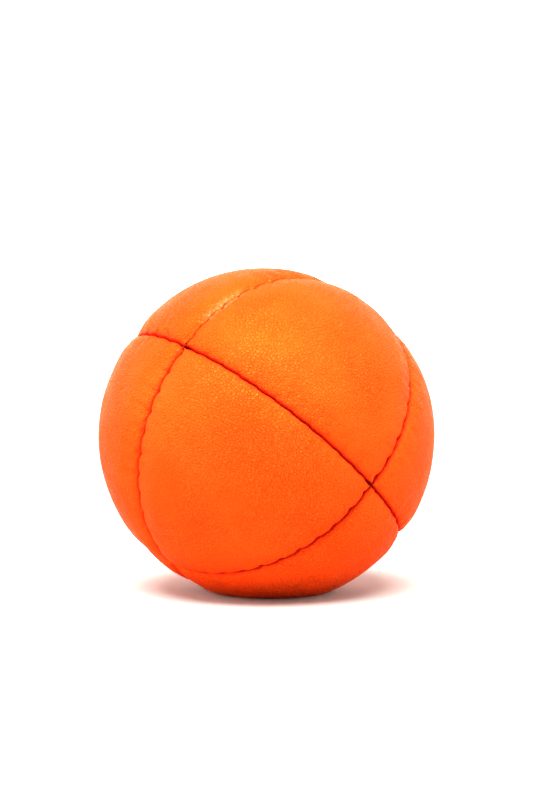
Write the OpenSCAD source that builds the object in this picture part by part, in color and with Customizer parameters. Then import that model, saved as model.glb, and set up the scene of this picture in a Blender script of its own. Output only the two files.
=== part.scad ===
// Stitched eight-panel leather ball with a loose grain filling, lying on the flat that it settles on.
// Every panel is one eighth of the ball, bounded by three seams that run square to each other.
// Millimetres, +Z up, origin under the middle of the ball on the surface that it lies on.

/* [Ball] */
// Diameter across the crowns of two opposite panels
ball_d = 66; // [60:0.5:75]
// Offset of each panel's crown ball from the ball's middle along all three axes, which puffs the panels
panel_puff = 1.5; // [1.5:0.5:2.5]
// Diameter of the flat that the filled ball settles on
rest_d = 22; // [20:1:24]

/* [Leather] */
// Thickness of the leather
leather_t = 1.2; // [1:0.1:1.4]
// Radius of the rolled edge where a panel turns in at a seam
fold_r = 1.4; // [1.2:0.1:1.8]
// Depth of the turned-in seam allowance below the crease
allowance = 5; // [4:0.5:7]
// Radius of the notch that clips the allowances at each corner
clip_r = 2.4; // [2:0.1:3]

/* [Stitching] */
// Stitches in the seam between two panels
stitches = 12; // [10:1:15]
// Diameter of the thread
thread_d = 0.5; // [0.4:0.05:0.6]
// Depth of the stitch line below the crease
stitch_depth = 0.5; // [0.4:0.05:0.8]
// Stitches from the upper left corner to the closing gap that the filling went in through
gap_start = 2; // [2:1:3]
// Stitches' worth of the closing gap
gap_stitches = 4; // [3:1:5]

/* [Filling] */
// Gap left between the filling and the skin
fill_gap = 0.15; // [0.1:0.05:0.5]

/* [Hidden] */
$fn = 96;

// The ball's own axes run through the corners where four panels meet. x points at the front right
// corner, y at the upper left one and z at the low left one once the ball is turned as it lies.
lie = [141, 13, -49];

half_space = 100;

// How far the outline that rounds a rim reaches past the leather, and how far it bites into it
cutter_reach = 2;
fold_bite = 0.02;

// The thread is squeezed where it passes through a needle hole and bunches up where it turns or is knotted
hole_d = 0.7 * thread_d;
bunch_d = 1.3 * thread_d;

// Leather left between the clipped corner and the thread that crosses it
clip_cover = 0.3;

crown_r = ball_d / 2 - panel_puff * sqrt(3);
fold_at = sqrt(pow(crown_r - fold_r, 2) - pow(panel_puff - fold_r, 2));
stitch_at = fold_at - stitch_depth;
thread_h = leather_t + 0.3 * thread_d;
seam_reach = asin(panel_puff / stitch_at);
trim_r = panel_puff * sqrt(2) + fold_at - allowance;
corner_crease = panel_puff + sqrt(pow(fold_at, 2) - pow(panel_puff, 2));
clip_top = corner_crease - stitch_depth - thread_d - clip_cover;
gap_end = gap_start + gap_stitches;

// Height of the ball's middle, so that the lowest panel's crown ball meets the surface in a circle of rest_d
down = [-sin(lie.y), cos(lie.y) * sin(lie.x), cos(lie.y) * cos(lie.x)];
crown_drop = -panel_puff * (down.x - down.y + down.z);
middle_z = sqrt(pow(crown_r, 2) - pow(rest_d / 2, 2)) + crown_drop;

// Moves a child from the ball's own axes to where the ball lies
module as_it_lies() {
    translate([0, 0, middle_z]) rotate(lie) children();
}

// Mirrors a child drawn in the all-positive eighth into the eighth with signs s
module eighth(s) {
    mirror([s.x < 0 ? 1 : 0, 0, 0])
        mirror([0, s.y < 0 ? 1 : 0, 0])
            mirror([0, 0, s.z < 0 ? 1 : 0])
                children();
}

// Turns a child drawn on the seam plane z = 0 onto plane 0 (z = 0), 1 (x = 0) or 2 (y = 0)
module seam_plane(k) {
    rotate(a = 120 * k, v = [1, 1, 1]) children();
}

module above(z) {
    translate([-half_space, -half_space, z]) cube(2 * half_space);
}

// Everything under the surface that the ball lies on
module below_floor() {
    mirror([0, 0, 1]) above(0);
}

// Ball whose poles and seam line are turned away from the all-positive eighth
module turned_ball(r) {
    rotate([0, atan(1 / sqrt(2)), 225]) sphere(r);
}

module crown_ball(r) {
    translate([panel_puff, panel_puff, panel_puff]) turned_ball(r);
}

// Ring that rounds a panel's rim where it meets the seam plane z = 0
module rim_cutter() {
    rim = [fold_at, fold_r];
    crown = [0, panel_puff];
    outside = crown + (crown_r + cutter_reach) * (rim - crown) / norm(rim - crown);
    translate([panel_puff, panel_puff, 0])
        rotate(225)
            rotate_extrude()
                difference() {
                    polygon([rim, [fold_at, -cutter_reach], [outside.x + cutter_reach, -cutter_reach], outside]);
                    translate(rim) circle(fold_r + fold_bite);
                }
}

// Rounds the rim that a child has on seam plane k
module rounded_at(k) {
    difference() {
        children();
        seam_plane(k) rim_cutter();
    }
}

// Puffed eighth with its three rims rounded, still solid
module panel_body() {
    rounded_at(0) rounded_at(1) rounded_at(2)
        intersection() {
            crown_ball(crown_r);
            cube(half_space);
        }
}

// Room inside the eighth, between the allowances
module panel_room(wall) {
    intersection() {
        crown_ball(crown_r - wall);
        translate([1, 1, 1] * wall) cube(half_space);
    }
}

// What is cut away below the allowances and at their clipped corners
module allowance_trim() {
    turned_ball(trim_r);
    for (k = [0:2]) seam_plane(k) cylinder(r = clip_r, h = clip_top);
}

function stitch_angle(i) = -seam_reach + i * (90 + 2 * seam_reach) / stitches;

// Places a child on the stitch line, i stitches along the seam between the x and y axes
module at_stitch(i) {
    translate([panel_puff, panel_puff, 0])
        rotate(stitch_angle(i))
            translate([stitch_at, 0, 0])
                children();
}

// Thread lying along the allowance on the +z side, from stitch a to stitch b
module thread_run(a, b) {
    translate([panel_puff, panel_puff, thread_h])
        rotate(stitch_angle(a))
            rotate_extrude(angle = stitch_angle(b) - stitch_angle(a))
                translate([stitch_at, 0]) circle(d = thread_d);
}

// Thread bunched up where it turns or is knotted, at each listed stitch
module bunches(at) {
    for (i = at) at_stitch(i) translate([0, 0, thread_h]) sphere(d = bunch_d);
}

// Thread passing down its needle hole to the seam plane
module thread_drop(i) {
    at_stitch(i) cylinder(d = hole_d, h = thread_h);
}

// One side of a lockstitched seam, from stitch a to stitch b. Needle holes lie midway between whole stitches.
module lockstitch(a, b) {
    thread_run(a, b);
    for (i = [ceil(a - 0.5):floor(b - 0.5)]) thread_drop(i + 0.5);
}

// One side of the hand-sewn gap. Its stitches are half as long, and every other one is on this side.
module ladder_stitch(first) {
    steps = 2 * gap_stitches;
    for (i = [first:2:steps - 1]) {
        thread_run(gap_start + i / 2, gap_start + (i + 1) / 2);
        bunches([gap_start + i / 2, gap_start + (i + 1) / 2]);
    }
    for (i = [0:steps]) thread_drop(gap_start + i / 2);
}

// What each of the three seam planes carries on its positive side. The equator crosses both of its corners,
// a half seam crosses only the corner on the z axis, and a pair seam stops short of both.
module equator_side() { seam_plane(0) lockstitch(0, stitches); }
module equator_bunches(at) { seam_plane(0) bunches(at); }
module half_side() { seam_plane(2) lockstitch(0, stitches - 0.5); }
module half_bunches(at) { seam_plane(2) bunches(at); }
module gap_side(first) { seam_plane(1) ladder_stitch(first); }

module pair_side() {
    seam_plane(1) {
        lockstitch(0.5, stitches - 0.5);
        bunches([0.5, stitches - 0.5]);
    }
}

// The pair seam that holds the gap is machine sewn only at its two ends
module gapped_pair_side() {
    ends = [[0.5, gap_start - 0.5], [gap_end + 0.5, stitches - 0.5]];
    seam_plane(1) for (e = ends) {
        lockstitch(e[0], e[1]);
        bunches(e);
    }
}

module panel(s) {
    has_gap = s.y > 0 && s.z < 0;
    color("orangered")
    difference() {
        as_it_lies() eighth(s) panel_body();
        below_floor();
        intersection() {
            as_it_lies() eighth(s) panel_room(leather_t);
            above(leather_t);
        }
        as_it_lies() eighth(s) {
            allowance_trim();
            equator_side();
            equator_bunches([0, stitches]);
            half_side();
            half_bunches([0, stitches - 0.5]);
            if (has_gap) {
                gapped_pair_side();
                gap_side(s.x > 0 ? 0 : 1);
            }
            else pair_side();
        }
    }
}

module filling() {
    slot = thread_h + thread_d / 2 + fill_gap;
    color("goldenrod")
    intersection() {
        as_it_lies() {
            turned_ball(trim_r - fill_gap);
            for (x = [-1, 1], y = [-1, 1], z = [-1, 1]) eighth([x, y, z])
                intersection() {
                    crown_ball(crown_r - leather_t - fill_gap);
                    translate([1, 1, 1] * slot) cube(half_space);
                }
        }
        above(leather_t + fill_gap);
    }
}

module thread() {
    color("red") as_it_lies() children();
}

// A pair seam joins two panels along x = 0, in the quarter with signs y and z
module pair_thread(side, y, z) {
    thread() eighth([side, y, z]) pair_side();
}

// The pair seam with the gap joins the two panels above the equator on +y
module gapped_pair_thread(side) {
    thread() eighth([side, 1, -1]) gapped_pair_side();
}

// A half seam joins two pairs along y = 0, over the corner at z
module half_thread(side, z) {
    thread() {
        for (x = [-1, 1]) eighth([x, side, z]) {
            half_side();
            half_bunches([stitches - 0.5]);
        }
        eighth([1, side, z]) half_bunches([0]);
    }
}

// The equator seam joins the two halves along z = 0, all the way round
module equator_thread(side) {
    thread() {
        for (x = [-1, 1], y = [-1, 1]) eighth([x, y, side]) equator_side();
        for (x = [-1, 1]) eighth([x, 1, side]) equator_bunches([0]);
        for (y = [-1, 1]) eighth([1, y, side]) equator_bunches([stitches]);
    }
}

// The gap is sewn up by hand once the ball is full, with one thread that changes sides at each stitch
module closing_thread() {
    thread() {
        eighth([1, 1, -1]) gap_side(0);
        eighth([-1, 1, -1]) gap_side(1);
    }
}

panel([1, 1, 1]);  // panel_front
panel([1, 1, -1]);  // panel_top
panel([-1, 1, 1]);  // panel_left
panel([-1, 1, -1]);  // panel_upper_left
panel([1, -1, 1]);  // panel_bottom
panel([1, -1, -1]);  // panel_right
panel([-1, -1, 1]);  // panel_back_low
panel([-1, -1, -1]);  // panel_back_high
pair_thread(1, 1, 1);  // front_left_needle_thread
pair_thread(-1, 1, 1);  // front_left_bobbin_thread
pair_thread(1, -1, 1);  // bottom_back_needle_thread
pair_thread(-1, -1, 1);  // bottom_back_bobbin_thread
gapped_pair_thread(1);  // top_left_needle_thread
gapped_pair_thread(-1);  // top_left_bobbin_thread
pair_thread(1, -1, -1);  // right_back_needle_thread
pair_thread(-1, -1, -1);  // right_back_bobbin_thread
half_thread(1, 1);  // low_half_needle_thread
half_thread(-1, 1);  // low_half_bobbin_thread
half_thread(1, -1);  // high_half_needle_thread
half_thread(-1, -1);  // high_half_bobbin_thread
equator_thread(1);  // equator_needle_thread
equator_thread(-1);  // equator_bobbin_thread
closing_thread();
filling();
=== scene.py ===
"""Looks for the stitched eight-panel leather ball. Each panel is a leather sheet swelled by a cloth
simulation, with rolled rims, stitched seams, puckers and grain. Shapes are in millimetres in the
ball's own axes until they are placed."""
import math

import bmesh
import bpy
import numpy as np
from mathutils import Matrix, Vector
from mathutils.bvhtree import BVHTree


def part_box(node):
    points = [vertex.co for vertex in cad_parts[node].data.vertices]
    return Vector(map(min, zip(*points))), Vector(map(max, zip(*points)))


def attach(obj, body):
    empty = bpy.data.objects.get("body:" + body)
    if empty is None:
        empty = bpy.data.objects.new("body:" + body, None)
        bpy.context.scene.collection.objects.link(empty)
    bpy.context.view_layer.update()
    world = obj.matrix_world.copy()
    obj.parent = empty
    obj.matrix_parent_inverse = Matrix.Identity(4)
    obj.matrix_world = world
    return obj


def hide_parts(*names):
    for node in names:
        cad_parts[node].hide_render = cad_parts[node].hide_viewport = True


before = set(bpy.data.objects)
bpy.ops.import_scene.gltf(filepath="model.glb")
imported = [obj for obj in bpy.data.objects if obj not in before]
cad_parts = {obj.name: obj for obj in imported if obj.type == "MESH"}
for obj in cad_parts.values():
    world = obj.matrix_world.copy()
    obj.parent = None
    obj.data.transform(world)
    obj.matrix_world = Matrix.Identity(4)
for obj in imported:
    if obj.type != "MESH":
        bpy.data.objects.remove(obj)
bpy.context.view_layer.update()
scene = bpy.context.scene

MM = 0.001

# The ball, with the same sizes as its CAD solids
BALL_D = 66.0
PUFF = 1.5
FOLD_R = 1.4
LEATHER_T = 1.2
ALLOWANCE = 5.0
STITCHES = 12
STITCH_DEPTH = 0.5
GAP_START = 2
GAP_STITCHES = 4
LIE_DEG = (141, 13, -49)

CROWN_R = BALL_D / 2 - PUFF * math.sqrt(3)
FOLD_AT = math.sqrt((CROWN_R - FOLD_R) ** 2 - (PUFF - FOLD_R) ** 2)
SEAM_REACH = math.asin(PUFF / (FOLD_AT - STITCH_DEPTH))
PITCH = (math.pi / 2 + 2 * SEAM_REACH) / STITCHES

# Each panel fills the eighth of the ball with these signs of the ball's own x, y and z
PANELS = {
    "panel_front": (1, 1, 1),
    "panel_top": (1, 1, -1),
    "panel_left": (-1, 1, 1),
    "panel_upper_left": (-1, 1, -1),
    "panel_bottom": (1, -1, 1),
    "panel_right": (1, -1, -1),
    "panel_back_low": (-1, -1, 1),
    "panel_back_high": (-1, -1, -1),
}
CLOSING_PANELS = ("panel_top", "panel_upper_left")
CLOSING_SEAM = 0

turns = [Matrix.Rotation(math.radians(a), 3, axis) for a, axis in zip(LIE_DEG, "XYZ", strict=True)]
LIE = np.array(turns[2] @ turns[1] @ turns[0])


def ball_middle():
    """The two equator threads mirror each other through the ball's middle."""
    boxes = [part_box("equator_needle_thread"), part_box("equator_bobbin_thread")]
    return (np.min([b[0] for b in boxes], axis=0) + np.max([b[1] for b in boxes], axis=0)) / 2


MIDDLE = ball_middle()


def placed(q, signs):
    """Points of the all-positive eighth, put where that panel lies, in metres in the row frame."""
    return (q * np.array(signs)) @ LIE.T * MM + MIDDLE


def bell(x, width):
    return np.exp(-((x / width) ** 2))


def smooth(x, low, high):
    t = np.clip((x - low) / (high - low), 0, 1)
    return t * t * (3 - 2 * t)


# ---- noise ----

def lattice(i, seed):
    """A steady pseudo-random number from -1 to 1 for each whole-number point."""
    n = i[:, 0] * 374761393 + i[:, 1] * 668265263 + i[:, 2] * 2147483647 + seed * 1274126177
    n = (n ^ (n >> 13)) * 1103515245
    return ((n ^ (n >> 16)) & 0xFFFFFF) / float(0x7FFFFF) - 1


def noise(p, size, seed):
    """Smooth noise from -1 to 1 at points p, with features of that size."""
    p = p / size + 17.3
    i = np.floor(p).astype(np.int64)
    f = p - i
    f = f * f * f * (f * (f * 6 - 15) + 10)
    total = 0
    for corner in np.ndindex(2, 2, 2):
        c = np.array(corner)
        total = total + np.prod(np.where(c, f, 1 - f), axis=1) * lattice(i + c, seed)
    return total


# ---- one panel as a sheet with rolled rims and turned-in allowances ----

def third(cells, fold_rows, flange_rows, k):
    """Grid of the third of a panel round its corner k: points on the leather's outside, and their
    normals."""
    rows = fold_rows + flange_rows
    i, j = np.meshgrid(np.arange(-rows, cells + 1), np.arange(-rows, cells + 1), indexing="ij")
    s, t = np.maximum(i, 0) / cells, np.maximum(j, 0) / cells
    a, b = (k + 1) % 3, (k + 2) % 3
    w = np.zeros(s.shape + (3,))
    w[..., k] = 1 - s / 2 - t / 2 + s * t / 3
    w[..., a] = s / 2 - s * t / 6
    w[..., b] = t / 2 - s * t / 6
    w = np.sin(w * math.pi / 2)
    start = FOLD_R - PUFF
    half_b, ww = start * w.sum(-1), (w * w).sum(-1)
    reach = (-half_b + np.sqrt(half_b**2 - ww * (3 * start**2 - (CROWN_R - FOLD_R) ** 2))) / ww
    from_crown = start + reach[..., None] * w
    core = from_crown + PUFF
    up = from_crown / np.linalg.norm(from_crown, axis=-1, keepdims=True)

    over_a = np.clip(-i / fold_rows, 0, 1)[..., None]
    over_b = np.clip(-j / fold_rows, 0, 1)[..., None]
    out_a, out_b = -np.eye(3)[a], -np.eye(3)[b]
    turn_a, turn_b = over_a * math.pi / 2, over_b * math.pi / 2
    fold = np.cos(turn_a) * np.cos(turn_b) * up + np.sin(turn_a) * out_a + np.sin(turn_b) * out_b
    n = fold / np.linalg.norm(fold, axis=-1, keepdims=True)

    def inward(axis):
        u = -core.copy()
        u[..., axis] = 0
        return u / np.linalg.norm(u, axis=-1, keepdims=True)

    in_a = inward(a) * (1 - over_b / 2) + inward(b) * over_b / 2
    in_b = inward(b) * (1 - over_a / 2) + inward(a) * over_a / 2
    down_a = np.clip((-i - fold_rows) / flange_rows, 0, 1)[..., None]
    down_b = np.clip((-j - fold_rows) / flange_rows, 0, 1)[..., None]
    p = core + FOLD_R * fold + ALLOWANCE * (down_a * in_a + down_b * in_b * (down_a == 0))
    return p, n


def sheet(cells, fold_rows, flange_rows):
    """Points, normals and faces of a whole panel's sheet, its allowances notched at the corners."""
    points, normals, faces = [], [], []
    rows = fold_rows + flange_rows
    side = cells + rows + 1
    for k in range(3):
        p, n = third(cells, fold_rows, flange_rows, k)
        index = k * side * side + np.arange(side * side).reshape(side, side)
        quads = np.stack([index[:-1, :-1], index[1:, :-1], index[1:, 1:], index[:-1, 1:]], -1)
        kept = np.ones(quads.shape[:2], bool)
        kept[:flange_rows, :rows] = False
        kept[:rows, :flange_rows] = False
        points.append(p.reshape(-1, 3))
        normals.append(n.reshape(-1, 3))
        faces.append(quads[kept])
    return np.vstack(points), np.vstack(normals), np.vstack(faces)


def coords(mesh):
    co = np.empty(len(mesh.vertices) * 3)
    mesh.vertices.foreach_get("co", co)
    return co.reshape(-1, 3)


def vertex_normals(mesh):
    n = np.empty(len(mesh.vertices) * 3)
    mesh.vertex_normals.foreach_get("vector", n)
    return n.reshape(-1, 3)


def set_coords(mesh, p):
    mesh.vertices.foreach_set("co", np.ascontiguousarray(p).ravel())
    mesh.update()


def linked(name, mesh):
    obj = bpy.data.objects.new(name, mesh)
    scene.collection.objects.link(obj)
    return obj


def welded_sheet(cells, fold_rows, flange_rows):
    """The sheet as one mesh, its three thirds merged, and its normals at the mesh's points."""
    points, normals, faces = sheet(cells, fold_rows, flange_rows)
    used = np.zeros(len(points), bool)
    used[faces.ravel()] = True
    keys = np.round(points, 4)
    _, first, which = np.unique(keys[used], axis=0, return_index=True, return_inverse=True)
    which = which.ravel()
    renumbered = np.full(len(points), -1)
    renumbered[np.flatnonzero(used)] = which
    kept = np.flatnonzero(used)[first]
    mesh = bpy.data.meshes.new("sheet")
    mesh.from_pydata(points[kept].tolist(), [], renumbered[faces].tolist())
    mesh.update()
    return mesh, normals[kept]


# ---- the cloth simulation that swells the panels ----

CELLS = 24
FOLD_ROWS = 3
FLANGE_ROWS = 3
SIM_SCALE = 0.02  # cloth metres to one millimetre
SIM_FRAMES = 20
SIM_PRESSURE = 4.0
SIM_QUALITY = 5
SIM_STRETCH_STIFFNESS = 15
SIM_BENDING_STIFFNESS = 0.4
SIM_GROWTH = 0.035  # how much spare leather each sheet gets, to pucker with
SIM_SWELL = 0.93  # how far a panel's crown rises, so each sheet starts that much lower
SIM_CAP = 0.9  # the most that a point moves, in millimetres
SWELL_FROM, SWELL_OVER = 0.9, 3.0  # where beside a seam the leather starts to rise, and how soon
HELD_TO, FREE_FROM = 0.2, 1.7  # distances from a seam plane between which the pins let go
TIGHT_HOLD = 0.8  # how firmly the tightest stitches hold the leather above them
TIGHT_ALONG, TIGHT_ACROSS = 0.16, 2.4
SIM_SEED, SIM_SEED_STEP = 50, 10


def swell_room(q):
    """How far the pressure lifts the leather off its start: less beside the seams."""
    return SIM_SWELL * (1 - np.exp(-np.maximum(q.min(axis=1) - SWELL_FROM, 0) / SWELL_OVER))


def pins(q, seed):
    """How firmly each point of a sheet is held: fully in the seam allowance, and here and there
    above the stitches."""
    held = 1 - smooth(q.min(axis=1), HELD_TO, FREE_FROM)
    tight = np.zeros(len(q))
    for c in range(3):
        frac, near, across, _ = seam_place(q, c)
        pull = np.random.RandomState(seed + c).rand(STITCHES)[near]
        tight = np.maximum(tight, bell(frac, TIGHT_ALONG) * bell(across, TIGHT_ACROSS) * pull)
    return np.maximum(held, TIGHT_HOLD * tight)


def seam_place(q, c):
    """Where points lie along seam c: fraction of a stitch from the nearest needle hole, that hole's
    number, distance from the seam plane, and distance out from the crown ball's axis."""
    a, b = (c + 1) % 3, (c + 2) % 3
    along = (np.arctan2(q[:, b] - PUFF, q[:, a] - PUFF) + SEAM_REACH) / PITCH - 0.5
    near = np.clip(np.round(along), 0, STITCHES - 1).astype(int)
    return along - near, near, q[:, c], np.hypot(q[:, a] - PUFF, q[:, b] - PUFF)


def swelled(meshes):
    """Blows each sheet up against its pinned rims, with some spare leather, and caps the move."""
    jobs = []
    for n, mesh in enumerate(meshes):
        q = coords(mesh)
        start = q * (1 - (swell_room(q) / np.linalg.norm(q, axis=1)))[:, None]
        set_coords(mesh, start * SIM_SCALE)
        obj = linked("swelling", mesh)
        group = obj.vertex_groups.new(name="pin")
        for i, w in enumerate(pins(q, SIM_SEED + SIM_SEED_STEP * n)):
            if w > 0:
                group.add([i], float(w), "REPLACE")
        mod = obj.modifiers.new("cloth", "CLOTH")
        cloth = mod.settings
        cloth.quality = SIM_QUALITY
        cloth.tension_stiffness = cloth.compression_stiffness = SIM_STRETCH_STIFFNESS
        cloth.bending_stiffness = SIM_BENDING_STIFFNESS
        cloth.use_pressure = True
        cloth.uniform_pressure_force = SIM_PRESSURE
        cloth.vertex_group_mass = "pin"
        cloth.shrink_min = -SIM_GROWTH
        cloth.effector_weights.gravity = 0
        mod.collision_settings.use_collision = False
        jobs.append((obj, q))
    for f in range(1, SIM_FRAMES + 1):
        scene.frame_set(f)
    depsgraph = bpy.context.evaluated_depsgraph_get()
    results = []
    for obj, q in jobs:
        move = coords(obj.evaluated_get(depsgraph).data) / SIM_SCALE - q
        far = np.linalg.norm(move, axis=1, keepdims=True) + 1e-9
        results.append(q + move * SIM_CAP * np.tanh(far / SIM_CAP) / far)
    for (obj, _), mesh, p in zip(jobs, meshes, results, strict=True):
        bpy.data.objects.remove(obj)
        set_coords(mesh, p)
    scene.frame_set(1)


def subdivided(mesh, levels):
    obj = linked("subdividing", mesh)
    mod = obj.modifiers.new("subdivision", "SUBSURF")
    mod.levels = mod.render_levels = levels
    mod.boundary_smooth = "PRESERVE_CORNERS"
    fine = bpy.data.meshes.new_from_object(obj.evaluated_get(bpy.context.evaluated_depsgraph_get()))
    bpy.data.objects.remove(obj)
    return fine


# ---- stitch by stitch detail ----

# Lengths and widths are in millimetres. A zone is where an effect starts and where it is full.
GAP_AT_STITCH = 0.02
GAP_BETWEEN = 0.05
RIM_WIDTH = 1.1
CREASE_ZONE = (FOLD_AT - 2.5, FOLD_AT - 0.8)
OVERHANG = 0.14  # how far the leather bulges over its neighbour between needle holes
OVERHANG_SIDE = (-1, -1, 1)  # which side of each seam plane gives way to the other's bulge
DIP, DIP_LENGTH = 0.30, 0.6  # the pull at each needle hole
JOG = 0.28  # how far the seam line steps sideways at each needle hole
JOG_LENGTH, JOG_WIDTH = 0.07, 1.6
PUCKERS = 3  # puckers to each stitch
PUCKER, PUCKER_WIDTH = 0.14, 0.34
PUCKER_LEAN, PUCKER_SPREAD = 0.7, 2.4
PUCKER_SHORTEST, PUCKER_MORE = 0.8, 3.0
PUCKER_ZONE = (0.0, 0.7)
GROOVE_LIFT = 0.22  # how much shallower the seams' grooves are than the folds
CLOSING_LIFT = 0.45  # the same for the hand-sewn closing seam
LIFT_WIDTH = 0.5
CLOSING_BAND = (0.8, 1.4, 2.9, 3.8)  # the stitches where the hand-sewn leather is crumpled and gets pale painted highlights
# Where across the closing seam the painted highlights lie, and how wide their band is
GLINT_BAND_AT, GLINT_BAND_WIDTH = 0.45, 0.75
CRUMPLES = ((0.8, 6, 0.10), (1.7, 7, 0.14))  # size, seed and depth of the crumpled leather's lumps
CRUMPLE_AT, CRUMPLE_WIDTH = 0.9, 1.3
BODY_LUMPS = ((12.0, 3, 0.10), (5.0, 4, 0.05))
BODY_ZONE = (0.4, 5.0)
FINE_LUMPS = (0.9, 5, 0.012)
CORNER_DIP, CORNER_DIP_WIDTH = 0.32, 1.3
PIT_LIFT, PIT_WIDTH = 0.60, 0.8  # how much shallower the pits at the corners are
UNEVEN_FROM, UNEVEN_BY = 0.6, 0.8  # how much stitches differ: this share, and up to that much more
SEAM_SEED = 900

# How much painted shade darkens each seam plane's creases, and the distances from the plane where
# that painted shade fades
SEAM_SHADE = (0.74, 1.0, 0.86)
SEAM_SHADE_FROM = 0.05
SEAM_SHADE_TO = (0.95, 0.95, 0.80)
# Painted shade for the crease of the hand-sewn closing seam
CLOSING_SHADE, CLOSING_SHADE_TO = 0.62, 0.3


def in_closing_band(along):
    """1 where the leather beside the closing seam is crumpled, by stitches along the seam."""
    start, full, fade, end = CLOSING_BAND
    return smooth(along, start, full) * (1 - smooth(along, fade, end))


def painted_glint_band(q, closing):
    """Where pale highlights are painted: 1 on the crumpled leather along the closing seam, and 0
    elsewhere.
    """
    frac, near, across, _ = seam_place(q, CLOSING_SEAM)
    return closing * in_closing_band(frac + near) * bell(across - GLINT_BAND_AT, GLINT_BAND_WIDTH)


def lumps(world, size, seed, depth):
    return depth * noise(world, size, seed)


def uneven(random):
    """How much stronger or weaker than usual an effect is at each stitch of a seam."""
    return UNEVEN_FROM + UNEVEN_BY * random.rand(STITCHES)


def stitched(q, n, signs, seed, closing):
    """Points q of a panel with normals n, pulled in at the needle holes, puckered, parted between
    them and lumpy."""
    world = q * np.array(signs)
    rng = np.random.RandomState(seed)
    out = smooth(q.min(axis=1), *BODY_ZONE) * sum(lumps(world, *lump) for lump in BODY_LUMPS)
    out = out + lumps(world, *FINE_LUMPS)
    shift = np.zeros(q.shape)
    for c in range(3):
        a, b = (c + 1) % 3, (c + 2) % 3
        frac, near, across, rho = seam_place(q, c)
        mm_off = frac * PITCH * FOLD_AT
        at_crease = smooth(rho, *CREASE_ZONE)
        rim = bell(across, RIM_WIDTH) * at_crease
        hand_sewn = closing and c == CLOSING_SEAM
        radial = np.zeros(q.shape)
        radial[:, a], radial[:, b] = (q[:, a] - PUFF) / rho, (q[:, b] - PUFF) / rho

        # Both panels of a seam draw these from one seed, so that they still fit each other
        shared = np.random.RandomState(SEAM_SEED + 9 * c + 3 * signs[a] + signs[b])
        dip = DIP * uneven(shared)[near]
        shift -= radial * (dip * bell(mm_off, DIP_LENGTH) * rim)[:, None]
        arch = np.sin(math.pi * np.clip(np.abs(frac), 0, 0.5)) * uneven(shared)[near]
        bulge = GAP_BETWEEN / 2 + OVERHANG_SIDE[c] * signs[c] * OVERHANG
        shift[:, c] += (GAP_AT_STITCH / 2 + arch * bulge) * rim
        jog = (frac - 0.5 * np.tanh(frac / JOG_LENGTH)) * (0.5 + shared.rand(STITCHES))[near]
        shift[:, c] += JOG * jog * np.prod(signs) * bell(across, JOG_WIDTH) * at_crease

        for _ in range(PUCKERS):
            lean = PUCKER_LEAN * (rng.rand(STITCHES) - 0.5)[near]
            place = PUCKER_SPREAD * (rng.rand(STITCHES) - 0.5)[near]
            length = (PUCKER_SHORTEST + PUCKER_MORE * rng.rand(STITCHES) ** 2)[near]
            depth = (PUCKER * rng.rand(STITCHES) ** 1.5)[near]
            pucker = bell(mm_off - place - lean * across, PUCKER_WIDTH) * bell(across, length)
            out -= depth * pucker * smooth(across, *PUCKER_ZONE)
        lift = CLOSING_LIFT if hand_sewn else GROOVE_LIFT
        shift += radial * (lift * bell(across, LIFT_WIDTH) * at_crease)[:, None]
        if hand_sewn:
            crumple = sum(lumps(world, *lump) for lump in CRUMPLES)
            crumple *= bell(across - CRUMPLE_AT, CRUMPLE_WIDTH) * at_crease
            out += in_closing_band(frac + near) * crumple
    for k in range(3):
        a, b = (k + 1) % 3, (k + 2) % 3
        off_corner = np.hypot(q[:, a], q[:, b])
        near_side = q[:, k] > 0
        out -= CORNER_DIP * bell(off_corner, CORNER_DIP_WIDTH) * near_side
        shift[:, k] += PIT_LIFT * bell(off_corner, PIT_WIDTH) * near_side
    return q + n * out[:, None] + shift


def crease_shade(q, closing):
    """How much painted shade the seams' folds get: up to 1 in the folds, falling to 0 where the
    leather's outside begins.
    """
    shade = np.zeros(len(q))
    for c in range(3):
        if closing and c == CLOSING_SEAM:
            one = CLOSING_SHADE * (1 - smooth(q[:, c], 0.0, CLOSING_SHADE_TO))
        else:
            one = SEAM_SHADE[c] * (1 - smooth(q[:, c], SEAM_SHADE_FROM, SEAM_SHADE_TO[c]))
        shade = np.maximum(shade, one)
    return shade


# ---- rest ----

REST_SOFTNESS = 0.2
SPREAD, SPREAD_AT = 0.009, 11.0  # how much wider the ball's foot is, and at what height


def flattened(z):
    """Heights in millimetres, with those under 0 brought up to it by a soft turn."""
    return REST_SOFTNESS * np.logaddexp(0, z / REST_SOFTNESS)


def rested(p):
    """Spreads the ball's foot a little, and flattens what would lie under the floor."""
    z = p[:, 2] / MM
    wider = (1 + SPREAD * bell(z - SPREAD_AT, SPREAD_AT))[:, None]
    p[:, :2] = MIDDLE[:2] + (p[:, :2] - MIDDLE[:2]) * wider
    near = z < 8 * REST_SOFTNESS
    p[near, 2] = MM * flattened(z[near])
    return p


def joined_skin(outer, inner):
    """One closed bmesh from the outer and inner sheets, with their rims bridged."""
    bm = bmesh.new()
    bm.from_mesh(outer)
    outer_rim = [e for e in bm.edges if e.is_boundary]
    count = len(bm.edges)
    bm.from_mesh(inner)
    bm.edges.ensure_lookup_table()
    inner_rim = [e for e in bm.edges[count:] if e.is_boundary]
    bmesh.ops.bridge_loops(bm, edges=outer_rim + inner_rim)
    bmesh.ops.recalc_face_normals(bm, faces=bm.faces)
    return bm


# ---- materials ----

def material(name):
    """A node material with a lone Principled shader: the material, its node tree and the shader."""
    mat = bpy.data.materials.new(name)
    mat.use_nodes = True
    tree = mat.node_tree
    tree.nodes.clear()
    output = tree.nodes.new("ShaderNodeOutputMaterial")
    shader = tree.nodes.new("ShaderNodeBsdfPrincipled")
    tree.links.new(shader.outputs[0], output.inputs[0])
    return mat, tree, shader


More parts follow.
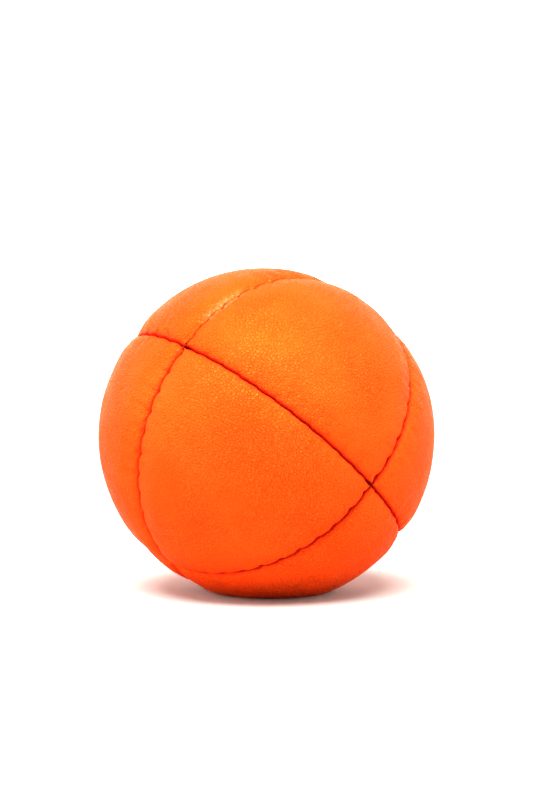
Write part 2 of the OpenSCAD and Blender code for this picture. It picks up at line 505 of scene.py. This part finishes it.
def add(tree, kind, links=(), attributes=(), **values):
    """Adds a node, with its attributes, its input values and what is linked into it."""
    node = tree.nodes.new(kind)
    for key, value in dict(attributes).items():
        setattr(node, key, value)
    for key, value in values.items():
        node.inputs[key.replace("_", " ")].default_value = value
    for key, source in dict(links).items():
        tree.links.new(source, node.inputs[key])
    return node


def ramp(tree, source, stops):
    node = tree.nodes.new("ShaderNodeValToRGB")
    elements = node.color_ramp.elements
    while len(elements) < len(stops):
        elements.new(0.5)
    for element, (position, color) in zip(elements, stops, strict=True):
        element.position = position
        element.color = (*color, 1)
    tree.links.new(source, node.inputs["Fac"])
    return node.outputs["Color"]


def remap(tree, source, from_low, from_high, to_low, to_high):
    node = tree.nodes.new("ShaderNodeMapRange")
    node.inputs["From Min"].default_value = from_low
    node.inputs["From Max"].default_value = from_high
    node.inputs["To Min"].default_value = to_low
    node.inputs["To Max"].default_value = to_high
    tree.links.new(source, node.inputs["Value"])
    return node.outputs["Result"]


def multiplied(tree, a, b):
    return add(tree, "ShaderNodeMath", {0: a, 1: b}, {"operation": "MULTIPLY"}).outputs[0]


def mixed(tree, factor, a, b, blend="MIX"):
    """Colour a blended towards b by a factor. a is a socket and b a socket or a colour."""
    node = tree.nodes.new("ShaderNodeMix")
    node.data_type = "RGBA"
    node.blend_type = blend
    sockets = [s for s in node.inputs if s.enabled and (s.name == "Factor" or s.type == "RGBA")]
    for key, value in (("Factor", factor), ("A", a), ("B", b)):
        socket = next(s for s in sockets if s.name == key)
        if isinstance(value, bpy.types.NodeSocket):
            tree.links.new(value, socket)
        else:
            socket.default_value = value
    return next(s for s in node.outputs if s.type == "RGBA")


# The leather's colours
ORANGE = [(0.32, (0.90, 0.055, 0.0042)), (0.68, (0.96, 0.067, 0.0062))]
CRACK_TINT = (0.45, 0.50, 0.30, 1)
PORE_TINT = (0.85, 0.55, 0.4, 1)
# Pale colour of the highlights painted on the crumpled leather by the closing seam
PAINTED_GLINT_PALE = (0.92, 0.16, 0.045, 1)
# Painted shade for the seams' folds: red on their shoulders, dark red deep in them
PAINTED_SHADE_SHOULDER = (0.80, 0.031, 0.005, 1)
PAINTED_SHADE_DEEP = (0.50, 0.013, 0.003, 1)
SHEEN_TINT = (1.0, 0.45, 0.03, 1)

# The leather's features to the metre, from the broadest to the finest
PATCH_SCALE = 50
BLOTCH_SCALE = 90
WEAR_SCALE = 260
WARP_SCALE = 1100
GLINT_FLECK_SCALE = 1500
GRAIN_SCALE = 1650
PORE_SCALE = 3200

PATCHES = (0.38, 0.62)  # the range of the soft noise that says where the grain is stronger
WARP_BY = 0.0007  # how far the grain's cells are bent out of shape, in metres
PORE_RELIEF = 0.4  # a pore's height beside a grain cell's
RELIEF = 0.00015  # in metres
RELIEF_STRENGTH = (0.55, 1.0)
CRACK_SHOWN = (0.25, 0.75)
ROUGHNESS = (0.40, 0.52)


def leather_material():
    """Soft orange leather: fine cracked grain, faint blotches, pale highlights painted on the
    crumpled leather beside the hand-sewn seam, and painted shade, red to dark red, in the seams'
    folds."""
    mat, tree, shader = material("leather")
    place = add(tree, "ShaderNodeTexCoord").outputs["Object"]

    def noise_at(scale, detail):
        return add(tree, "ShaderNodeTexNoise", {"Vector": place}, Scale=scale, Detail=detail)

    def attribute(name):
        return add(tree, "ShaderNodeAttribute", (), {"attribute_name": name}).outputs["Fac"]

    body = ramp(tree, noise_at(BLOTCH_SCALE, 4).outputs["Fac"], ORANGE)

    warp = noise_at(WARP_SCALE, 2).outputs["Color"]
    offset = add(tree, "ShaderNodeVectorMath", {0: warp}, {"operation": "SCALE"}, Scale=WARP_BY)
    bent = add(tree, "ShaderNodeVectorMath", {0: place, 1: offset.outputs[0]}, {"operation": "ADD"})
    to_edge = add(
        tree, "ShaderNodeTexVoronoi", {"Vector": bent.outputs[0]},
        {"feature": "DISTANCE_TO_EDGE"}, Scale=GRAIN_SCALE,
    ).outputs["Distance"]
    plateau = remap(tree, to_edge, 0.0, 0.20, 0.0, 1.0)
    patch = noise_at(PATCH_SCALE, 3).outputs["Fac"]
    pores = noise_at(PORE_SCALE, 3).outputs["Fac"]
    relief = add(tree, "ShaderNodeMath", {0: pores, 2: plateau}, {"operation": "MULTIPLY_ADD"})
    relief.inputs[1].default_value = PORE_RELIEF
    bump = add(tree, "ShaderNodeBump", {"Height": relief.outputs[0]}, Distance=RELIEF)
    tree.links.new(remap(tree, patch, *PATCHES, *RELIEF_STRENGTH), bump.inputs["Strength"])
    tree.links.new(bump.outputs["Normal"], shader.inputs["Normal"])

    in_crack = remap(tree, to_edge, 0.02, 0.13, 1.0, 0.0)
    cracks = multiplied(tree, in_crack, remap(tree, patch, *PATCHES, *CRACK_SHOWN))
    color = mixed(tree, cracks, body, CRACK_TINT, "MULTIPLY")
    color = mixed(tree, remap(tree, pores, 0.35, 0.65, 0.22, 0.0), color, PORE_TINT, "MULTIPLY")
    # Pale flecks painted as highlights on the crumpled leather beside the closing seam
    glint_flecks = remap(tree, noise_at(GLINT_FLECK_SCALE, 2).outputs["Fac"], 0.40, 0.60, 0.15, 0.8)
    color = mixed(tree, multiplied(tree, attribute("painted_glints"), glint_flecks), color, PAINTED_GLINT_PALE)
    # Painted shade in the seams' folds: redder on their shoulders, dark red deep in them
    fold = attribute("crease")
    color = mixed(tree, remap(tree, fold, 0.0, 0.7, 0.0, 0.85), color, PAINTED_SHADE_SHOULDER)
    color = mixed(tree, remap(tree, fold, 0.60, 0.88, 0.0, 1.0), color, PAINTED_SHADE_DEEP)
    tree.links.new(color, shader.inputs["Base Color"])

    wear = remap(tree, noise_at(WEAR_SCALE, 4).outputs["Fac"], 0.3, 0.7, *ROUGHNESS)
    tree.links.new(wear, shader.inputs["Roughness"])
    shader.inputs["Specular IOR Level"].default_value = 0.01
    shader.inputs["Specular Tint"].default_value = SHEEN_TINT
    shader.inputs["Metallic"].default_value = 0.26
    return mat


def thread_material():
    """Twisted red sewing thread."""
    mat, tree, shader = material("thread")
    place = add(tree, "ShaderNodeTexCoord").outputs["Object"]
    twist = add(
        tree, "ShaderNodeTexWave", {"Vector": place},
        {"wave_type": "BANDS", "bands_direction": "DIAGONAL"}, Scale=900, Distortion=2.5,
    ).outputs["Fac"]
    color = ramp(tree, twist, [(0.0, (0.16, 0.006, 0.004)), (1.0, (0.42, 0.022, 0.010))])
    tree.links.new(color, shader.inputs["Base Color"])
    bump = add(tree, "ShaderNodeBump", {"Height": twist}, Strength=0.6, Distance=0.0001)
    tree.links.new(bump.outputs["Normal"], shader.inputs["Normal"])
    shader.inputs["Roughness"].default_value = 0.7
    shader.inputs["Specular IOR Level"].default_value = 0.3
    return mat


def grain_material():
    """Husked millet grains."""
    mat, tree, shader = material("grain")
    place = add(tree, "ShaderNodeTexCoord").outputs["Object"]
    seeds = add(tree, "ShaderNodeTexVoronoi", {"Vector": place}, Scale=480).outputs["Distance"]
    color = ramp(tree, seeds, [(0.0, (0.70, 0.45, 0.14)), (1.0, (0.28, 0.15, 0.04))])
    tree.links.new(color, shader.inputs["Base Color"])
    bump = add(
        tree, "ShaderNodeBump", {"Height": seeds}, {"invert": True}, Strength=1.0, Distance=0.001
    )
    tree.links.new(bump.outputs["Normal"], shader.inputs["Normal"])
    shader.inputs["Roughness"].default_value = 0.75
    return mat


leather, thread, grain = leather_material(), thread_material(), grain_material()


# ---- the object's pieces ----

PANEL_SEED, PANEL_SEED_STEP = 11, 7
SKIN_LEVELS = 2  # subdivision levels of the leather's outside


def panel_piece(name, signs, swollen, inner_normals, seed):
    """Builds one panel's leather from its swollen coarse sheet, in place of its CAD solid."""
    outer = subdivided(swollen, SKIN_LEVELS)
    q = coords(outer)
    n = vertex_normals(outer)
    if (n * q).sum() < 0:
        n = -n
    closing = name in CLOSING_PANELS
    q = stitched(np.maximum(q, 0), n, signs, seed, closing)
    set_coords(outer, rested(placed(q, signs)))
    # These attributes carry painted shade for the seams' folds and pale painted highlights for the
    # crumpled leather by the closing seam
    for key, value in (("crease", crease_shade(q, closing)), ("painted_glints", painted_glint_band(q, closing))):
        shade = outer.attributes.new(key, "FLOAT", "POINT")
        shade.data.foreach_set("value", value.astype(np.float32))

    inside = placed(coords(swollen) - LEATHER_T * inner_normals, signs)
    inside[:, 2] = np.maximum(inside[:, 2], LEATHER_T * MM)
    set_coords(swollen, inside)
    for key in ("crease", "painted_glints"):
        swollen.attributes.new(key, "FLOAT", "POINT")
    bm = joined_skin(outer, swollen)
    mesh = bpy.data.meshes.new(name)
    bm.to_mesh(mesh)
    bm.free()
    mesh.shade_smooth()
    mesh.materials.append(leather)
    piece = linked(name.replace("panel", "leather"), mesh)
    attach(piece, "root")
    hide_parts(name)
    return piece


sheets = [welded_sheet(CELLS, FOLD_ROWS, FLANGE_ROWS) for _ in PANELS]
swelled([mesh for mesh, _ in sheets])
leathers = []
for n, ((name, signs), (mesh, normals)) in enumerate(zip(PANELS.items(), sheets, strict=True)):
    seed = PANEL_SEED + PANEL_SEED_STEP * n
    leathers.append(panel_piece(name, signs, mesh, normals, seed))


FILL_GAP = 0.15  # between the millet and what is round it
THREAD_D = 0.5
THREAD_H = LEATHER_T + 0.3 * THREAD_D  # the thread's middle, off the seam plane
STITCH_AT = FOLD_AT - STITCH_DEPTH  # the stitches' distance from the crown ball's axis
TRIM_R = PUFF * math.sqrt(2) + FOLD_AT - ALLOWANCE  # how near the middle the allowances reach
SLOT_HALF = THREAD_H + THREAD_D / 2 + FILL_GAP  # half the room that a seam's allowances take up
SLOT_BEND = 1.5
GRAIN_D = 1.9
GRAIN_DENT = 0.55
GRAIN_SINK = 0.05
GRAIN_JITTER = 0.32  # in grain diameters
GRAIN_SEED = 20
GRAIN_DOME = 0.72  # a grain dome's radius, in grain diameters
GRAIN_LEVELS = 7  # subdivision levels of the filling's surface


def whole_piece(name, node, mesh, skin):
    """Puts a mesh in place of a CAD node, with one material."""
    mesh.shade_smooth()
    mesh.materials.append(skin)
    piece = linked(name, mesh)
    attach(piece, "root")
    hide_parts(node)
    return piece


def grain_domes(p):
    """Height of the millet grains at points p, from 0 to 1: a dome on each of a jittered lattice's
    points."""
    u = p / GRAIN_D
    i = np.floor(u).astype(np.int64)
    nearest = np.full(len(p), np.inf)
    for step in np.ndindex(3, 3, 3):
        cell = i + np.array(step) - 1
        jitter = np.stack([lattice(cell, GRAIN_SEED + k) for k in range(3)], axis=-1)
        grain_middle = cell + 0.5 + GRAIN_JITTER * jitter
        nearest = np.minimum(nearest, np.linalg.norm(u - grain_middle, axis=1))
    return np.sqrt(np.clip(1 - (nearest / GRAIN_DOME) ** 2, 0, 1))


def room_inside(d):
    """How far the leather's inside is from the ball's middle along the directions d."""
    bm = bmesh.new()
    for piece in leathers:
        bm.from_mesh(piece.data)
    skin = BVHTree.FromBMesh(bm)
    bm.free()
    hits = [skin.ray_cast(Vector(MIDDLE), Vector(x))[3] for x in d @ LIE.T]
    return np.array([BALL_D if x is None else x / MM for x in hits])


def filling_piece():
    """The millet, as one lumpy form that fills the room inside the panels."""
    bm = bmesh.new()
    levels = GRAIN_LEVELS
    bmesh.ops.create_icosphere(bm, subdivisions=levels, radius=1.0)
    mesh = bpy.data.meshes.new("filling")
    bm.to_mesh(mesh)
    bm.free()
    d = coords(mesh)
    d /= np.linalg.norm(d, axis=1, keepdims=True)
    w = np.abs(d)
    lobe_r = CROWN_R - LEATHER_T - FILL_GAP
    half_b = PUFF * w.sum(axis=1)
    reach = half_b + np.sqrt(half_b**2 - 3 * PUFF**2 + lobe_r**2)
    inside = smooth((reach[:, None] * w).min(axis=1), SLOT_HALF, SLOT_HALF + SLOT_BEND)
    core_r = TRIM_R - FILL_GAP
    far = core_r + (reach - core_r) * inside
    far = np.minimum(far, room_inside(d) - FILL_GAP)
    far -= GRAIN_DENT * (1 - grain_domes(d * far[:, None])) + GRAIN_SINK
    p = d * far[:, None] @ LIE.T * MM + MIDDLE
    floor = LEATHER_T + FILL_GAP
    p[:, 2] = MM * (floor + flattened(p[:, 2] / MM - floor))
    set_coords(mesh, p)
    piece = whole_piece("millet_filling", "filling", mesh, grain)


THREAD_STEPS = 16  # points to each stitch
THREAD_LEG = 0.75  # how near the seam plane a leg's turn comes, in thread diameters
LEG_WIDTH = 0.07  # in stitches
PLY_R = THREAD_D / 4
PLY_OFFSET = 0.9 * PLY_R
PLY_SIDES = 6
TWIST_PITCH = 1.1  # millimetres of thread to one turn of its plies


def seam_run(c, signs, start, end, holes):
    """The middle line of the thread on one side of seam c, which dips into each needle hole."""
    steps = max(2, int(round((end - start) * THREAD_STEPS)))
    t = np.linspace(start, end, steps + 1)
    angle = t * PITCH - SEAM_REACH
    a, b = (c + 1) % 3, (c + 2) % 3
    q = np.zeros((len(t), 3))
    q[:, a], q[:, b] = PUFF + STITCH_AT * np.cos(angle), PUFF + STITCH_AT * np.sin(angle)
    off_hole = np.abs(t[:, None] - np.array(holes)[None, :]).min(axis=1)
    q[:, c] = THREAD_H - (THREAD_H - THREAD_D * THREAD_LEG) * bell(off_hole, LEG_WIDTH)
    return q * np.array(signs)


def twisted(runs):
    """A two-ply twisted thread along each run of points, as one mesh of closed tubes."""
    points, faces = [], []
    base = 0
    for run in runs:
        along = np.gradient(run, axis=0)
        along /= np.linalg.norm(along, axis=1, keepdims=True)
        side = np.cross(along, run / np.linalg.norm(run, axis=1, keepdims=True))
        side /= np.linalg.norm(side, axis=1, keepdims=True)
        up = np.cross(side, along)
        steps = np.linalg.norm(np.diff(run, axis=0), axis=1)
        length = np.concatenate([[0], np.cumsum(steps)])
        for ply in range(2):
            twist = (2 * math.pi * length / TWIST_PITCH + ply * math.pi)[:, None]
            middle = run + PLY_OFFSET * (np.cos(twist) * side + np.sin(twist) * up)
            for k in range(PLY_SIDES):
                turn = 2 * math.pi * k / PLY_SIDES
                points.append(middle + PLY_R * (math.cos(turn) * side + math.sin(turn) * up))
            n = len(run)
            for k in range(PLY_SIDES):
                this, following = base + k * n, base + (k + 1) % PLY_SIDES * n
                faces += [
                    (this + i, this + i + 1, following + i + 1, following + i) for i in range(n - 1)
                ]
            faces.append([base + k * n for k in range(PLY_SIDES)])
            faces.append([base + k * n + n - 1 for k in reversed(range(PLY_SIDES))])
            base += n * PLY_SIDES
    mesh = bpy.data.meshes.new("thread")
    mesh.from_pydata((np.vstack(points) @ LIE.T * MM + MIDDLE).tolist(), [], faces)
    bm = bmesh.new()
    bm.from_mesh(mesh)
    bmesh.ops.recalc_face_normals(bm, faces=bm.faces)
    bm.to_mesh(mesh)
    bm.free()
    mesh.update()
    return mesh


def lockstitched(c, signs, start=0.0, end=float(STITCHES)):
    """A run with its needle holes half way along every stitch."""
    holes = [i + 0.5 for i in range(math.ceil(start - 0.5), math.floor(end - 0.5) + 1)]
    return seam_run(c, signs, start, end, holes)


# The four pair seams, with the signs of the ball's y and z where each lies
PAIR_SEAMS = {
    "front_left": (1, 1),
    "bottom_back": (-1, 1),
    "top_left": (1, -1),
    "right_back": (-1, -1),
}


def thread_runs():
    """The runs of every thread, by CAD node. Seam planes 0, 1 and 2 hold the pair, half and equator
    seams."""
    runs = {}
    gap_end = GAP_START + GAP_STITCHES
    first_hole, last_hole = 0.5, STITCHES - 0.5
    for side, kind in ((1, "needle"), (-1, "bobbin")):
        for seam, (y, z) in PAIR_SEAMS.items():
            ends = [(first_hole, last_hole)]
            if seam == "top_left":
                ends = [(first_hole, GAP_START - 0.5), (gap_end + 0.5, last_hole)]
            runs[f"{seam}_{kind}_thread"] = [lockstitched(0, (side, y, z), *e) for e in ends]
        for z, half in ((1, "low"), (-1, "high")):
            runs[f"{half}_half_{kind}_thread"] = [
                lockstitched(1, (x, side, z), 0, last_hole) for x in (-1, 1)
            ]
        runs[f"equator_{kind}_thread"] = [
            lockstitched(2, (x, y, side)) for x in (-1, 1) for y in (-1, 1)
        ]
    runs["closing_thread"] = []
    for x, first in ((1, 0), (-1, 1)):
        for i in range(first, 2 * GAP_STITCHES, 2):
            start, end = GAP_START + i / 2, GAP_START + (i + 1) / 2
            runs["closing_thread"].append(seam_run(0, (x, 1, -1), start, end, [start, end]))
    return runs


filling_piece()
for name, runs in thread_runs().items():
    whole_piece(name.replace("thread", "twist"), name, twisted(runs), thread)


# ---- floor, light and camera ----

STAGE_HALF_WIDTH = 1.5
STAGE_FRONT = 1.2
STAGE_BACK = 1.6
WALL_H = 1.1
GLOW_FROM, GLOW_TO, GLOW = 0.7, 2.2, 3.9
GLOW_SHIFT, GLOW_SPREAD = (-0.2, 0.2, 0), (0.75, 1.25, 0.3)
STAGE_COLOR = (0.51, 0.495, 0.46, 1)
SKY_COLOR, SKY_STRENGTH = (1, 0.96, 0.90, 1), 0.36


def stage():
    """A pale floor with walls at its back and sides, which glow more the farther they are from the
    ball."""
    w = STAGE_HALF_WIDTH
    front, back = -STAGE_FRONT, STAGE_BACK
    ground = [(-w, front, 0), (w, front, 0), (w, back, 0), (-w, back, 0)]
    points = ground + [(x, y, WALL_H) for x, y, _ in ground]
    mesh = bpy.data.meshes.new("stage")
    mesh.from_pydata(points, [], [(0, 1, 2, 3), (3, 2, 6, 7), (2, 1, 5, 6), (0, 3, 7, 4)])
    mat, tree, shader = material("stage")
    shader.inputs["Base Color"].default_value = STAGE_COLOR
    shader.inputs["Roughness"].default_value = 0.9
    shader.inputs["Specular IOR Level"].default_value = 0.0
    shader.inputs["Emission Color"].default_value = (1, 1, 1, 1)
    place = add(tree, "ShaderNodeTexCoord").outputs["Object"]
    spread = add(
        tree, "ShaderNodeMapping", {"Vector": place}, Location=GLOW_SHIFT, Scale=GLOW_SPREAD
    ).outputs[0]
    away = add(tree, "ShaderNodeVectorMath", {0: spread}, {"operation": "LENGTH"})
    glow = remap(tree, away.outputs["Value"], GLOW_FROM, GLOW_TO, 0.0, GLOW)
    tree.links.new(glow, shader.inputs["Emission Strength"])
    mesh.materials.append(mat)
    floor = linked("floor", mesh)


def softbox(name, direction, distance, size, power):
    """An elliptical softbox that faces the ball from a direction."""
    light = bpy.data.lights.new(name, "AREA")
    light.shape = "ELLIPSE"
    light.size, light.size_y = size
    light.energy = power
    obj = linked(name, light)
    to_light = Vector(direction).normalized()
    obj.location = Vector(MIDDLE) + to_light * distance
    obj.rotation_mode = "QUATERNION"
    obj.rotation_quaternion = (-to_light).to_track_quat("-Z", "Y")


stage()
softbox("overhead", direction=(-0.07, -0.31, 1.0), distance=1.5, size=(1.75, 1.15), power=131)
world = bpy.data.worlds.new("studio")
world.use_nodes = True
background = world.node_tree.nodes["Background"]
background.inputs["Color"].default_value = SKY_COLOR
background.inputs["Strength"].default_value = SKY_STRENGTH
scene.world = world
scene.view_settings.view_transform = "Standard"

# The camera stands ten ball diameters away and looks down by 6 degrees
CAMERA_DISTANCE = 0.66
CAMERA_ELEVATION = math.radians(6)
CAMERA_LENS = 150.2
AIM_ABOVE = 0.0070  # how far above the ball's middle it aims

camera_data = bpy.data.cameras.new("camera")
camera_data.sensor_width = 36
camera_data.lens = CAMERA_LENS
camera_data.clip_start, camera_data.clip_end = 0.01, 20
camera = linked("camera", camera_data)
back = Vector((0, -math.cos(CAMERA_ELEVATION), math.sin(CAMERA_ELEVATION)))
up = Vector((0, math.sin(CAMERA_ELEVATION), math.cos(CAMERA_ELEVATION)))
camera.location = Vector(MIDDLE) + back * CAMERA_DISTANCE
aim = Vector(MIDDLE) + up * AIM_ABOVE
camera.rotation_mode = "QUATERNION"
camera.rotation_quaternion = (aim - camera.location).to_track_quat("-Z", "Y")
scene.camera = camera
